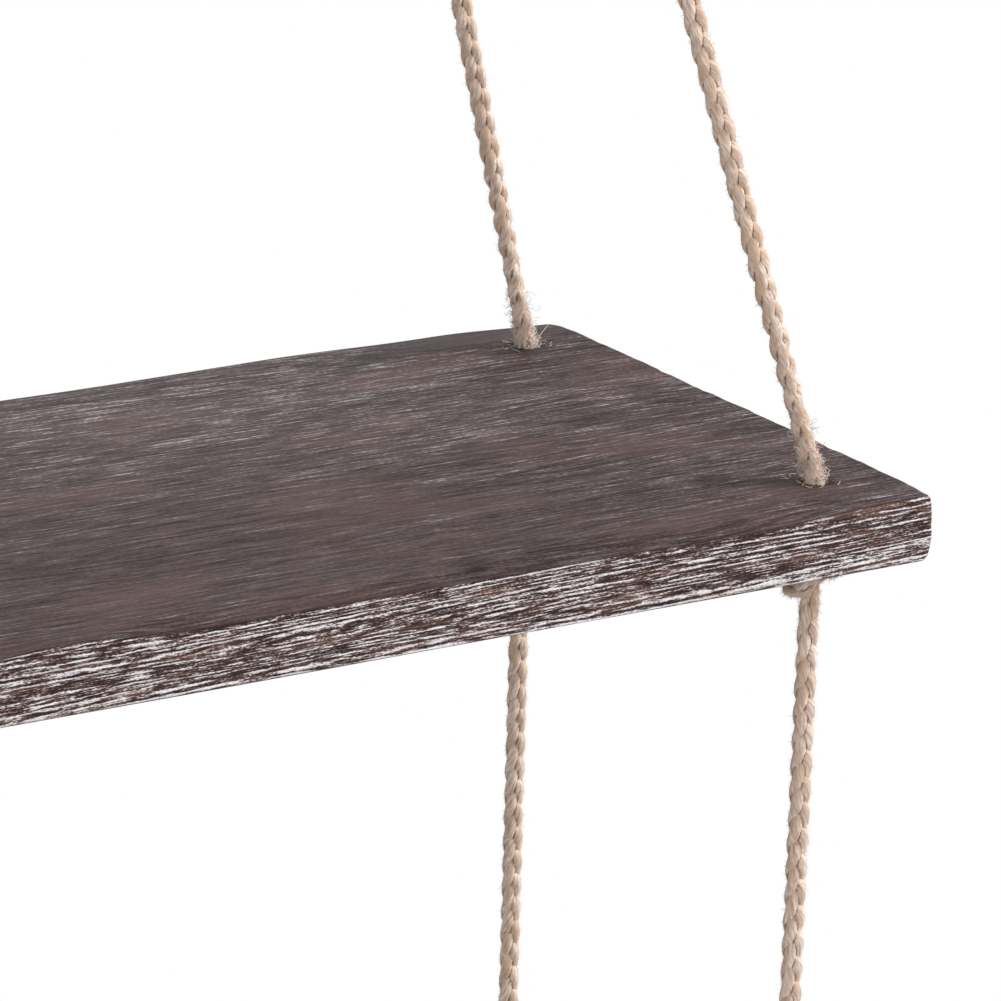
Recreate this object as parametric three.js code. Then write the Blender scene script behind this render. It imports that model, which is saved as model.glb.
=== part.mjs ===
// Hanging rope shelf: two planks on four ropes that meet at a steel ring.
// Millimetres, +Z up, +X along the planks, +Y to the rear.
// The origin is the inside top of the ring, where a hook carries it.

import * as THREE from 'three';

// Planks
const shelfLength = 412;
const shelfDepth = 152;
const shelfThickness = 15;
const shelfCornerRadius = 3;
const shelfArrisRadius = 1.6;
const shelfSpacing = 240;

// Holes for the ropes
const holeDiameter = 7.2;
const holeInsetEnd = 17.2;
const holeInsetFront = 19;
const holeInsetRear = 16;

// Rope
const ropeDiameter = 4.6;
const knotRopeDiameter = 3.5;
const ropeGap = 0.3;
const turnGap = 0.5;
const legDrop = 600;
const bendLength = 10;
const tailLength = 24;

// Hanging ring
const ringInnerDiameter = 40;
const ringWireDiameter = 5;
const hitchExitDrop = 13.5;

// Facets
const ropeSides = 10;
const capSteps = 3;
const knotSides = 7;
const knotSteps = 46;
const hitchSides = 8;
const hitchSteps = 54;
const ringSides = 12;
const ringSteps = 36;
const roundSteps = 3;
const holeSides = 16;

// Worked out from the sizes above
const ropeRadius = ropeDiameter / 2;
const knotRopeRadius = knotRopeDiameter / 2;
const wireRadius = ringWireDiameter / 2;
const ringRadius = ringInnerDiameter / 2 + wireRadius;
const ringCentreZ = -ringInnerDiameter / 2;
const legTopZ = ringCentreZ - ringRadius - hitchExitDrop;
const upperTopZ = legTopZ - legDrop;
const lowerTopZ = upperTopZ - shelfSpacing;
const holeX = shelfLength / 2 - holeInsetEnd;
const frontHoleY = -shelfDepth / 2 + holeInsetFront;
const rearHoleY = shelfDepth / 2 - holeInsetRear;

// An overhand knot, from its middle to where the rope leaves upwards. The other half is the same
// turned half a turn about X. In pitches: one pitch is the rope in the knot and the gap beside it.
const knotShares = [
  [1.24, 0, 0], [1.1, -0.92, -0.5], [0.3, -1.35, -0.92], [-0.58, -0.9, -0.98],
  [-0.78, 0.1, -0.68], [-0.2, 0.56, -0.03], [0.26, 0.28, 0.85], [0.06, 0.06, 1.75],
];
const knotPitch = knotRopeDiameter + turnGap;
const knotTopShare = 0.98;
const knotExitShare = 2.3;

// A cow hitch on the ring, from the middle of its bight to where the leg leaves. Each point gives
// the place along the ring's wire from the hitch's middle, to the rear of the wire, and outwards
// from it, in pitches. The other half mirrors it.
const hitchShares = [
  [0, -2.02, 1.0], [0.8, -1.9, 1.02], [1.42, -1.12, 1.12], [1.5, -0.08, 1.08], [1.36, 0.86, 0.62],
  [1.16, 1.02, -0.3], [0.96, 0.38, -0.98], [0.76, -0.6, -0.86], [0.6, -1.03, -0.06],
  [0.53, -0.88, 0.74],
];
const hitchPitch = ropeDiameter + turnGap;
const hitchPlaceShare = 2.08;
const legPitch = hitchPitch + turnGap;

const wood = { color: 0x5b4a42, roughness: 0.8, metalness: 0 };
const jute = { color: 0xc3a178, roughness: 0.9, metalness: 0 };
const steel = { color: 0xb8babd, roughness: 0.35, metalness: 1 };

const corners = [
  { name: 'front_left', x: -holeX, y: frontHoleY, side: -1, leg: 1 },
  { name: 'front_right', x: holeX, y: frontHoleY, side: 1, leg: 1 },
  { name: 'rear_left', x: -holeX, y: rearHoleY, side: -1, leg: 0 },
  { name: 'rear_right', x: holeX, y: rearHoleY, side: 1, leg: 0 },
];

const part = new THREE.Group();

function addMesh(name, geometry, look) {
  const mesh = new THREE.Mesh(geometry, new THREE.MeshStandardMaterial(look));
  mesh.name = name;
  part.add(mesh);
  return mesh;
}

// Plank with rounded arrises and a hole near each corner

function addShelf(name, topZ) {
  const halfLength = shelfLength / 2 - shelfArrisRadius;
  const halfDepth = shelfDepth / 2 - shelfArrisRadius;
  const radius = shelfCornerRadius - shelfArrisRadius;
  const outline = [];
  for (const [index, [signX, signY]] of [[1, 1], [-1, 1], [-1, -1], [1, -1]].entries()) {
    for (let step = 0; step <= roundSteps; step += 1) {
      const angle = (index + step / roundSteps) * Math.PI / 2;
      outline.push(new THREE.Vector2(
        signX * (halfLength - radius) + radius * Math.cos(angle),
        signY * (halfDepth - radius) + radius * Math.sin(angle),
      ));
    }
  }
  const shape = new THREE.Shape(outline);
  const holeRadius = holeDiameter / 2 + shelfArrisRadius;
  for (const corner of corners) {
    const ring = [];
    for (let step = 0; step < holeSides; step += 1) {
      const angle = -step / holeSides * 2 * Math.PI;
      ring.push(new THREE.Vector2(
        corner.x + holeRadius * Math.cos(angle),
        corner.y + holeRadius * Math.sin(angle),
      ));
    }
    shape.holes.push(new THREE.Path(ring));
  }
  const geometry = new THREE.ExtrudeGeometry(shape, {
    depth: shelfThickness - 2 * shelfArrisRadius,
    bevelThickness: shelfArrisRadius,
    bevelSize: shelfArrisRadius,
    bevelSegments: roundSteps,
    steps: 1,
  });
  const mesh = addMesh(name, geometry, wood);
  mesh.position.z = topZ - shelfThickness + shelfArrisRadius;
}

// Straight stretch of rope whose round ends turn about the two points given

function addStretch(name, from, to) {
  const length = from.distanceTo(to);
  const profile = [];
  for (let step = 0; step <= capSteps; step += 1) {
    const angle = step / capSteps * Math.PI / 2;
    profile.push(new THREE.Vector2(ropeRadius * Math.sin(angle), -ropeRadius * Math.cos(angle)));
  }
  for (let step = capSteps; step >= 0; step -= 1) {
    const angle = step / capSteps * Math.PI / 2;
    profile.push(new THREE.Vector2(
      ropeRadius * Math.sin(angle),
      length + ropeRadius * Math.cos(angle),
    ));
  }
  profile[0].x = 0;
  profile[profile.length - 1].x = 0;
  const mesh = addMesh(name, new THREE.LatheGeometry(profile, ropeSides), jute);
  mesh.position.copy(from);
  mesh.quaternion.setFromUnitVectors(
    new THREE.Vector3(0, 1, 0),
    to.clone().sub(from).normalize(),
  );
}

function circleShape(radius, sides) {
  const points = [];
  for (let step = 0; step < sides; step += 1) {
    const angle = step / sides * 2 * Math.PI;
    points.push(new THREE.Vector2(radius * Math.cos(angle), radius * Math.sin(angle)));
  }
  return new THREE.Shape(points);
}

// The least gap between two stretches of one tube that aren't neighbours along it

function leastGap(curve, radius, steps) {
  const points = curve.getSpacedPoints(steps);
  const stepLength = curve.getLength() / steps;
  const apart = Math.ceil(4 * radius / stepLength);
  let least = Infinity;
  for (let first = 0; first <= steps; first += 1) {
    for (let second = first + apart; second <= steps; second += 1) {
      least = Math.min(least, points[first].distanceTo(points[second]));
    }
  }
  return least - 2 * radius;
}

function addTube(name, points, radius, sides, steps) {
  const curve = new THREE.CatmullRomCurve3(points, false, 'centripetal');
  console.log(`${name}: least gap to itself ${leastGap(curve, radius, 4 * steps).toFixed(2)} mm`);
  addMesh(name, new THREE.ExtrudeGeometry(circleShape(radius, sides), {
    steps,
    extrudePath: curve,
  }), jute);
}

// Overhand knot under a plank, with the rope that runs up through the hole and down from it

function knotCentreZ(topZ) {
  return topZ - shelfThickness - ropeGap - knotTopShare * knotPitch - knotRopeRadius;
}

function knotEndZ(topZ) {
  return knotCentreZ(topZ) - knotExitShare * knotPitch;
}

function addKnot(name, corner, topZ, endZ) {
  const centreZ = knotCentreZ(topZ);
  const place = (x, y, z) => new THREE.Vector3(
    corner.x + corner.side * x * knotPitch,
    corner.y - y * knotPitch,
    centreZ + z * knotPitch,
  );
  const up = knotShares.map(([x, y, z]) => place(x, y, z));
  const down = knotShares.slice(1).map(([x, y, z]) => place(x, -y, -z));
  const stemTopZ = topZ - ropeRadius - ropeGap;
  const stemZ = centreZ + knotExitShare * knotPitch;
  up.push(new THREE.Vector3(corner.x, corner.y, stemZ));
  up.push(new THREE.Vector3(corner.x, corner.y, stemTopZ));
  if (endZ < knotEndZ(topZ)) {
    down.push(new THREE.Vector3(corner.x, corner.y, knotEndZ(topZ)));
  }
  down.push(new THREE.Vector3(corner.x, corner.y, endZ));
  addTube(name, [...up.reverse(), ...down], knotRopeRadius, knotSides, knotSteps);
}

// Where the top of a leg turns under its hitch

function legTop(side, leg) {
  const middle = (hitchPlaceShare * hitchPitch) + legPitch / 2;
  return new THREE.Vector3(side * (middle + (leg - 1 / 2) * legPitch), 0, legTopZ);
}

function legDirection(corner) {
  const top = legTop(corner.side, corner.leg);
  return new THREE.Vector3(corner.x, corner.y, upperTopZ).sub(top).normalize();
}

// Cow hitch round the ring's wire, one for each of the two long ropes

function addHitch(name, side) {
  const middle = side * hitchPlaceShare * hitchPitch;
  const place = (along, rear, out) => {
    const angle = (middle + along * hitchPitch) / ringRadius;
    const reach = ringRadius + out * hitchPitch;
    return new THREE.Vector3(
      reach * Math.sin(angle),
      rear * hitchPitch,
      ringCentreZ - reach * Math.cos(angle),
    );
  };
  const half = (mirror) => {
    const points = hitchShares.map(([along, rear, out]) => place(mirror * along, rear, out));
    const leg = mirror * side > 0 ? 1 : 0;
    const corner = corners.find((entry) => entry.side === side && entry.leg === leg);
    const direction = legDirection(corner);
    const top = legTop(side, leg);
    points.push(top.clone().addScaledVector(direction, -ropeRadius - ropeGap - ropeDiameter / 2));
    points.push(top.clone().addScaledVector(direction, -ropeRadius - ropeGap));
    return points;
  };
  const points = [...half(-1).reverse(), ...half(1).slice(1)];
  addTube(name, points, ropeRadius, hitchSides, hitchSteps);
}

const ring = addMesh(
  'hanging_ring',
  new THREE.TorusGeometry(ringRadius, wireRadius, ringSides, ringSteps),
  steel,
);
ring.rotation.x = Math.PI / 2;
ring.position.z = ringCentreZ;

addHitch('hitch_left', -1);
addHitch('hitch_right', 1);
addShelf('upper_shelf', upperTopZ);
addShelf('lower_shelf', lowerTopZ);

for (const corner of corners) {
  const at = (z) => new THREE.Vector3(corner.x, corner.y, z);
  const bendTopZ = knotEndZ(upperTopZ) - ropeGap - ropeRadius;
  addStretch(`leg_${corner.name}`, legTop(corner.side, corner.leg), at(upperTopZ));
  addKnot(`knot_upper_${corner.name}`, corner, upperTopZ, knotEndZ(upperTopZ));
  const clear = 2 * ropeRadius + ropeGap;
  addStretch(`bend_top_${corner.name}`, at(bendTopZ), at(bendTopZ - bendLength + clear));
  addStretch(`rope_${corner.name}`, at(bendTopZ - bendLength), at(lowerTopZ + bendLength));
  addStretch(`bend_foot_${corner.name}`, at(lowerTopZ + bendLength - clear), at(lowerTopZ));
  addKnot(`knot_lower_${corner.name}`, corner, lowerTopZ, knotEndZ(lowerTopZ) - tailLength);
}

export default part;
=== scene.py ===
# Hanging rope shelf: two weathered planks on plaited jute ropes, which meet at a steel ring.
# +Z up, +X along the planks, +Y to the rear; the origin is the inside top of the ring.
# Sizes are in millimetres, and MM turns them into the scene's metres.
from functools import partialmethod
from itertools import product
from math import atan2, ceil, cos, exp, pi, radians, remainder, sin

import bmesh
import bpy
import numpy as np
from mathutils import Euler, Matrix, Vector
from numpy.linalg import norm


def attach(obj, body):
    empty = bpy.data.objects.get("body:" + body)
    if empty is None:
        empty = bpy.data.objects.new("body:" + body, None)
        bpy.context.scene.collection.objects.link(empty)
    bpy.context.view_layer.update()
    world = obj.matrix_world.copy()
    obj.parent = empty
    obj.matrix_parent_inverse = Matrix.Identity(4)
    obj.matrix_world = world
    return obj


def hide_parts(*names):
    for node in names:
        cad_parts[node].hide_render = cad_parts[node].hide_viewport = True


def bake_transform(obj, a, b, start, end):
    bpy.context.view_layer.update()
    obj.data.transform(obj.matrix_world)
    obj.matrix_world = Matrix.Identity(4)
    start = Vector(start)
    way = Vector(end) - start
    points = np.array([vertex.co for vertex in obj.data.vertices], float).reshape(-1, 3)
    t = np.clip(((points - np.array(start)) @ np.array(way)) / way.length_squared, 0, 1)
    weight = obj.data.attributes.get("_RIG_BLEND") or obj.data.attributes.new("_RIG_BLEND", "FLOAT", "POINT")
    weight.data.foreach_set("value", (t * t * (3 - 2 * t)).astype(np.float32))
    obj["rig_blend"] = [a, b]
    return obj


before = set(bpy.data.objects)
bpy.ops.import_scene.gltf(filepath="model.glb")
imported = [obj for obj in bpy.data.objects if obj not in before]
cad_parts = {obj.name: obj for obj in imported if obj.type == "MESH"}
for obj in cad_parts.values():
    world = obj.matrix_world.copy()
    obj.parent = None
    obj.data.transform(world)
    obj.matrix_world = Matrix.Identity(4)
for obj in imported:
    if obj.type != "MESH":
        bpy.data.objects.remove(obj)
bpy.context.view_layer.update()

MM = 0.001

# Planks
SHELF_LENGTH, SHELF_DEPTH, SHELF_THICKNESS = 412, 152, 15
# How far the long arrises, the end arrises and the worn front corners are rounded
LONG_ARRIS, END_ARRIS, CORNER_ARRIS = 0.6, 1.1, 2.6
# How far the upright arrises are rounded: the front ones, their tips, and the rear ones
FRONT_ROUND, TIP_ROUND, REAR_ROUND = 0.8, 2.4, 3.5
HOLE_DIAMETER, HOLE_FLARE = 5.6, 0.4
HOLE_X = SHELF_LENGTH / 2 - 17.2
FRONT_HOLE_Y = -SHELF_DEPTH / 2 + 19
REAR_HOLE_Y = SHELF_DEPTH / 2 - 16
HOLES = list(product((-HOLE_X, HOLE_X), (FRONT_HOLE_Y, REAR_HOLE_Y)))

# Ring
RING_INNER, RING_WIRE = 40, 5
RING_RADIUS = (RING_INNER + RING_WIRE) / 2
RING_CENTRE_Z = -RING_INNER / 2

# Rope
ROPE, KNOT_ROPE, ROPE_GAP = 4.6, 3.5, 0.3
KNOT_WIDTH = 4.2                 # how wide the soft rope shows where a knot presses it flat
LEG_TOP_Z = RING_CENTRE_Z - RING_RADIUS - 13.5
UPPER_Z = LEG_TOP_Z - 600
LOWER_Z = UPPER_Z - 240
BEND, TAIL = 10, 24
BLEND = 4                        # half of the length over which a bend is shared by two pieces
STEP = 0.7                       # the distance between the rope's rings of points
LAY = 18.3                       # the length of rope in which a strand swings to and fro once
STRAND, SPREAD, LIFT = 1.6, 0.9, 0.62    # a strand's radius, and how far it swings each way

# Half an overhand knot, from its middle, in steps of KNOT_PITCH
KNOT_PITCH = KNOT_ROPE + 0.5
KNOT_PATH = [
    (1.24, 0, 0), (1.1, -0.92, -0.5), (0.3, -1.35, -0.92), (-0.58, -0.9, -0.98),
    (-0.78, 0.1, -0.68), (-0.2, 0.56, -0.03), (0.26, 0.28, 0.85), (0.06, 0.06, 1.75),
]
KNOT_TOP, KNOT_EXIT = 0.98, 2.3
# Half a cow hitch, in steps of HITCH_PITCH: along the ring, to the rear, and out from the wire
HITCH_PITCH = ROPE + 0.5
HITCH_PATH = [
    (0, -2.02, 1.0), (0.8, -1.9, 1.02), (1.42, -1.12, 1.12), (1.5, -0.08, 1.08),
    (1.36, 0.86, 0.62), (1.16, 1.02, -0.3), (0.96, 0.38, -0.98), (0.76, -0.6, -0.86),
    (0.6, -1.03, -0.06), (0.53, -0.88, 0.74),
]
HITCH_PLACE = 2.08               # how far each hitch's middle is from the ring's lowest point
LEG_PITCH = HITCH_PITCH + 0.5
# What the plait's node tree reads at each point of a rope's line
GUIDES = ("along", "side", "up", "squeeze", "fuzz", "comb")
# Fibres at each hole: standing ones, lying ones, and of the lying ones those painted dark as shade among the
# curls
STANDING_FIBRES, LYING_FIBRES, SHADED_FIBRES = 90, 26, 12    # at each hole
FACING = np.array((-0.5065, -0.8060, 0.3064))    # the way that the plait's broad side faces


# Camera

def make_camera():
    data = bpy.data.cameras.new("camera")
    data.sensor_width = 36
    data.lens = 172.64
    camera = bpy.data.objects.new("camera", data)
    camera.location = (-0.3918, -0.8541, -0.3456)
    camera.rotation_euler = Euler([radians(a) for a in (72.1497, -1.4772, -31.6717)])
    bpy.context.scene.collection.objects.link(camera)
    bpy.context.scene.camera = camera


# Node trees

class Flow:
    """What comes out of a node, so that sums on it read as plain expressions."""

    def __init__(self, graph, socket):
        self.graph, self.socket = graph, socket

    def out(self, name):
        return Flow(self.graph, find(self.socket.node.outputs, name))

    def then(self, operation, *others):
        return self.graph.maths(operation, self, *others)

    __add__ = __radd__ = partialmethod(then, "ADD")
    __sub__ = partialmethod(then, "SUBTRACT")
    __mul__ = __rmul__ = partialmethod(then, "MULTIPLY")
    __truediv__ = partialmethod(then, "DIVIDE")
    __pow__ = partialmethod(then, "POWER")
    sine, size = partialmethod(then, "SINE"), partialmethod(then, "ABSOLUTE")
    least, most = partialmethod(then, "MINIMUM"), partialmethod(then, "MAXIMUM")

    def __rsub__(self, other):
        return self.graph.maths("SUBTRACT", other, self)

    def rise(self, low, high):
        """0 below low and 1 above high, with a smooth step between."""
        return self.graph.node(
            "ShaderNodeMapRange", {"interpolation_type": "SMOOTHSTEP"},
            {"Value": self, "From Min": low, "From Max": high}, "Result")

    def vector(self, operation, *others, output=0):
        return self.graph.node(
            "ShaderNodeVectorMath", {"operation": operation},
            dict(enumerate((self, *others))), output)

    dot = partialmethod(vector, "DOT_PRODUCT", output="Value")
    cross = partialmethod(vector, "CROSS_PRODUCT")
    length = partialmethod(vector, "LENGTH", output="Value")

    def parts(self):
        """The value's X, Y and Z."""
        split = self.graph.node("ShaderNodeSeparateXYZ", {}, {0: self})
        return split, split.out("Y"), split.out("Z")


def is_vector(value):
    if isinstance(value, Flow):
        return value.socket.type in ("VECTOR", "RGBA")
    return isinstance(value, (tuple, list))


def find(sockets, name):
    if isinstance(name, int):
        return sockets[name]
    same = [s for s in sockets if s.identifier == name]
    return same[0] if same else sockets[name]


class Graph:
    """A node tree to which nodes are added by type, settings and inputs."""

    def __init__(self, tree):
        self.tree = tree

    def node(self, kind, settings=None, inputs=None, output=0):
        made = self.tree.nodes.new(kind)
        for name, value in (settings or {}).items():
            if name == "stops":
                ramp = made.color_ramp.elements
                while len(ramp) < len(value):
                    ramp.new(1)
                for stop, (place, colour) in zip(ramp, value):
                    stop.position, stop.color = place, (*colour, 1)
            else:
                setattr(made, name, value)
        for name, value in (inputs or {}).items():
            socket = find(made.inputs, name)
            for one in value if isinstance(value, list) else [value]:
                if isinstance(one, Flow):
                    self.tree.links.new(one.socket, socket)
                elif socket.type == "RGBA" and len(one) == 3:
                    socket.default_value = (*one, 1)
                else:
                    socket.default_value = one
        return Flow(self, find(made.outputs, output)) if len(made.outputs) else None

    def maths(self, operation, *values):
        if any(is_vector(v) for v in values):
            if operation == "MULTIPLY" and not all(is_vector(v) for v in values):
                vector, number = sorted(values, key=is_vector, reverse=True)
                return self.node("ShaderNodeVectorMath", {"operation": "SCALE"},
                                 {"Vector": vector, "Scale": number})
            values = [v if is_vector(v) or isinstance(v, Flow) else (v, v, v) for v in values]
            kind = "ShaderNodeVectorMath"
        else:
            kind = "ShaderNodeMath"
        return self.node(kind, {"operation": operation}, dict(enumerate(values)))

    def attribute(self, name):
        """A named attribute of the geometry."""
        if self.tree.type == "GEOMETRY":
            vector = name in ("side", "up", "core", "centre")
            return self.node(
                "GeometryNodeInputNamedAttribute",
                {"data_type": "FLOAT_VECTOR" if vector else "FLOAT"},
                {"Name": name}, "Attribute")
        kind = "Vector" if name == "fibre" else "Fac"
        return self.node("ShaderNodeAttribute", {"attribute_name": name}, {}, kind)

    def store(self, geometry, name, value):
        vector = is_vector(value)
        return self.node(
            "GeometryNodeStoreNamedAttribute",
            {"data_type": "FLOAT_VECTOR" if vector else "FLOAT", "domain": "POINT"},
            {"Geometry": geometry, "Name": name, "Value": value})

    def place(self):
        """Where a point of the object is, in mm."""
        return self.node("ShaderNodeTexCoord", {}, {}, "Object") * 1000.0

    def xyz(self, *values):
        return self.node("ShaderNodeCombineXYZ", {}, dict(zip("XYZ", values)))

    def seen(self):
        """1 for rays that reach the eye straight or by a mirror or glass, and 0 for the rest."""
        path = self.node("ShaderNodeLightPath", {}, {}, "Is Camera Ray")
        return path.most(path.out("Is Glossy Ray")).most(path.out("Is Transmission Ray"))

    def ramp(self, value, *stops):
        return self.node("ShaderNodeValToRGB", {"stops": stops}, {"Fac": value}, "Color")

    def noise(self, vector, detail=2.0, roughness=0.5):
        """Noise from 0 to 1 whose cells are one unit of the vector wide."""
        return self.node(
            "ShaderNodeTexNoise", {"noise_dimensions": "3D"},
            {"Vector": vector, "Scale": 1.0, "Detail": detail, "Roughness": roughness}, 0)

    def mix(self, first, second, share):
        return self.node(
            "ShaderNodeMix", {"data_type": "RGBA"},
            {"Factor_Float": share, "A_Color": first, "B_Color": second}, "Result_Color")


def new_material(name):
    material = bpy.data.materials.new(name)
    material.use_nodes = True
    material.node_tree.nodes.clear()
    return material, Graph(material.node_tree)


def finish_surface(graph, colour, roughness, height=None, depth=0.1, **constants):
    """Ends a material in a Principled surface; depth is the bump's height in mm."""
    inputs = {"Base Color": colour, "Roughness": roughness}
    if height is not None:
        inputs["Normal"] = graph.node(
            "ShaderNodeBump", {}, {"Strength": 1.0, "Distance": depth * MM, "Height": height},
            "Normal")
    for name, value in constants.items():
        inputs[name.replace("_", " ")] = value
    surface = graph.node("ShaderNodeBsdfPrincipled", {}, inputs)
    graph.node("ShaderNodeOutputMaterial", {}, {"Surface": surface})


# Finishes

def weathered_wood():
    """Dark stained plank with short pale and dark streaks on its broad faces. On the edges, where
    the attribute "edge" is 1, rows of raised grain hold a broken white wash."""
    material, graph = new_material("weathered_wood")
    place = graph.place()
    edge, arris, crease, mouth, wane, height = (
        graph.attribute(n) for n in ("edge", "arris", "crease", "mouth", "wane", "height"))
    across, depth, _ = place.parts()

    # Grain that runs along the plank and wanders
    wander = graph.noise(place * (0.018, 0.05, 0.05), 1.0)
    grain = place + graph.xyz(0.0, (wander - 0.5) * 4.0, (wander - 0.5) * 1.5)

    # Broad faces
    bands = graph.noise(grain * (0.012, 0.2, 0.2), 1.0)
    streaks = graph.noise(grain * (0.09, 1.7, 1.7) + (40.0, 7.0, 3.0), 1.0)
    specks = graph.noise(place * (0.9, 2.6, 2.6), 1.0)
    patches = graph.noise(place * (0.02, 0.05, 0.05) + (3.0, 0.0, 0.0), 2.0)

    def thin_lines(length, apart, shift, often):
        """Thin broken lines along the grain, 1 on a line and 0 off it."""
        stretched = grain * (1 / length, 1 / apart, 1 / apart) + (shift, 0.0, shift)
        line = 1 - (graph.noise(stretched, 0.0) - 0.5).size().rise(0.0, 0.07)
        return line * graph.noise(stretched * (2.2, 1.3, 1.3), 0.0).rise(0.6 - often, 0.7 - often)

    pale_lines = thin_lines(28.0, 2.2, 17.0, 0.12)
    dark_lines = thin_lines(30.0, 1.5, 51.0, 0.14)
    # Lighter and more streaky towards the rear of the broad faces, fading out towards the right end
    paler_to_rear = depth.rise(-40, 60) * (1 - across.rise(110, 200))
    rough = across.rise(60, 200) * 0.4 + 0.72 + paler_to_rear * 0.5
    tone = (streaks - 0.5) * 1.25 + (specks - 0.5) * 0.7 + pale_lines * 0.13 - dark_lines * 0.28
    tone = tone * rough + (bands - 0.5) * 0.4 + 0.47 + paler_to_rear * 0.095
    face = graph.ramp(
        tone, (0.0, (0.006, 0.003, 0.004)), (0.26, (0.021, 0.012, 0.012)),
        (0.42, (0.053, 0.034, 0.033)), (0.56, (0.088, 0.063, 0.061)),
        (0.72, (0.135, 0.105, 0.106)), (1.0, (0.48, 0.44, 0.45)))
    face = graph.mix(face, (0.14, 0.082, 0.069), patches.rise(0.48, 0.7) * 0.35)
    face = graph.mix(face, (0.19, 0.165, 0.17), paler_to_rear * 0.15)
    face = graph.mix(face, (0.055, 0.046, 0.05), wane * 0.6)

    # Edges: rows of grain, a millimetre apart, that rise to the right
    warp = graph.noise(place * (0.012, 0.0, 0.2), 1.0)
    level = height - across * 0.02 + (warp - 0.5) * 3.2
    within = level - level.then("FLOOR")
    ridge = (1 - (within * 2.0 - 1.0).size()).rise(0.1, 1.0)

    def along_rows(length, width, shift):
        return graph.noise(graph.xyz(
            across * (1 / length) + shift, level * (1 / width), depth * 0.05 + shift), 1.0)

    broken = along_rows(11.0, 0.9, 0.0)
    dashes = along_rows(4.5, 0.36, 9.0)
    crumbs = graph.noise(place * (1.4, 4.6, 4.6), 1.0)
    zones = graph.noise(place * (0.03, 0.0, 0.25) + (5.0, 0.0, 0.0), 1.0)
    worn_pale = (1 - across.rise(110, 170)) * 0.065
    band = 1 - (height + 6.7 - (across - 160) * 0.075).size().rise(0.9, 1.6)
    band = band * across.rise(150, 166)
    foot = (1 - (height + 7.0).rise(0.0, 0.5)) * across.rise(-60, 20) * 0.6
    strip = arris * across.rise(90, 120) * (1 - across.rise(196, 202))
    wash = ridge * (broken + (zones - 0.5) * 0.4).rise(0.32, 0.68) * 0.62 + 0.285
    wash = wash + (dashes - 0.5) * 1.5 + (crumbs - 0.5) * 1.1
    wash = wash + (band * 0.23).most(foot * 0.28) + strip * 0.09 + worn_pale
    side = graph.ramp(
        wash, (0.0, (0.012, 0.005, 0.006)), (0.26, (0.034, 0.015, 0.015)),
        (0.42, (0.092, 0.052, 0.048)), (0.54, (0.20, 0.140, 0.130)), (0.64, (0.40, 0.345, 0.34)),
        (0.76, (0.72, 0.69, 0.70)), (1.0, (0.88, 0.87, 0.89)))
    rust = graph.noise(place * (0.05, 0.5, 0.5), 1.0)
    side = graph.mix(
        side, (0.30, 0.15, 0.10), (rust.rise(0.52, 0.68) * 0.22).most(strip * 0.36))

    colour = graph.mix(face, side, edge)
    # Near black: a thin line along the top arrises, and painted shade in the rope holes, running out over
    # their rims
    colour = graph.mix(colour, (0.018, 0.007, 0.007), (crease * 0.95).most(mouth * 0.8))
    roughness = 0.6 + 0.25 * streaks
    relief = tone * 0.25 * (1 - edge) + wash * edge
    finish_surface(graph, colour, roughness, relief, 0.35, Specular_IOR_Level=0.2)
    return material


def plaited_jute():
    """Jute fibre that follows each strand; the attribute "fibre" is the place along and across
    a strand in mm, "crease" 0 where it meets another strand, and "hair" 1 on hairs."""
    material, graph = new_material("plaited_jute")
    fibre, crease, hair, soot = (graph.attribute(n) for n in ("fibre", "crease", "hair", "soot"))
    along, _, _ = fibre.parts()
    turned = graph.node(
        "ShaderNodeVectorRotate", {"rotation_type": "X_AXIS"},
        {"Vector": fibre, "Angle": along * 0.35})
    threads = graph.noise(turned * (0.6, 4.0, 4.0), 1.0)
    yarns = graph.noise(turned * (0.45, 1.6, 1.6) + (9.0, 0.0, 0.0), 1.0)
    blotches = graph.noise(turned * (0.12, 0.4, 0.4), 1.0)
    tone = (threads - 0.5) * 0.55 + (yarns - 0.5) * 0.8 + (blotches - 0.5) * 0.5 + 0.5
    colour = graph.ramp(
        tone, (0.12, (0.26, 0.155, 0.11)), (0.34, (0.51, 0.365, 0.285)),
        (0.52, (0.67, 0.515, 0.42)), (0.68, (0.82, 0.69, 0.585)), (0.88, (0.97, 0.90, 0.80)))
    # Painted shade where strands meet: a soft brown, then a darker thin core in the deepest part
    crease_shade = crease + (yarns - 0.5) * 0.35
    colour = graph.mix(colour, (0.66, 0.46, 0.31), (1 - blotches.rise(0.36, 0.52)) * 0.55)
    colour = graph.mix((0.46, 0.30, 0.21), colour, crease_shade.rise(-0.05, 0.12))
    colour = graph.mix((0.24, 0.135, 0.085), colour, (crease_shade + 0.04).rise(-0.03, 0.05))
    colour = graph.mix(colour, (0.76, 0.67, 0.59), hair * 0.8)
    # Painted shade: the dark lying fibres stand for the shadows among the pale curls
    colour = graph.mix(colour, (0.04, 0.035, 0.035), soot)
    finish_surface(graph, colour, 0.8 + 0.1 * threads, tone, 0.12, Specular_IOR_Level=0.3)
    return material


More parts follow.
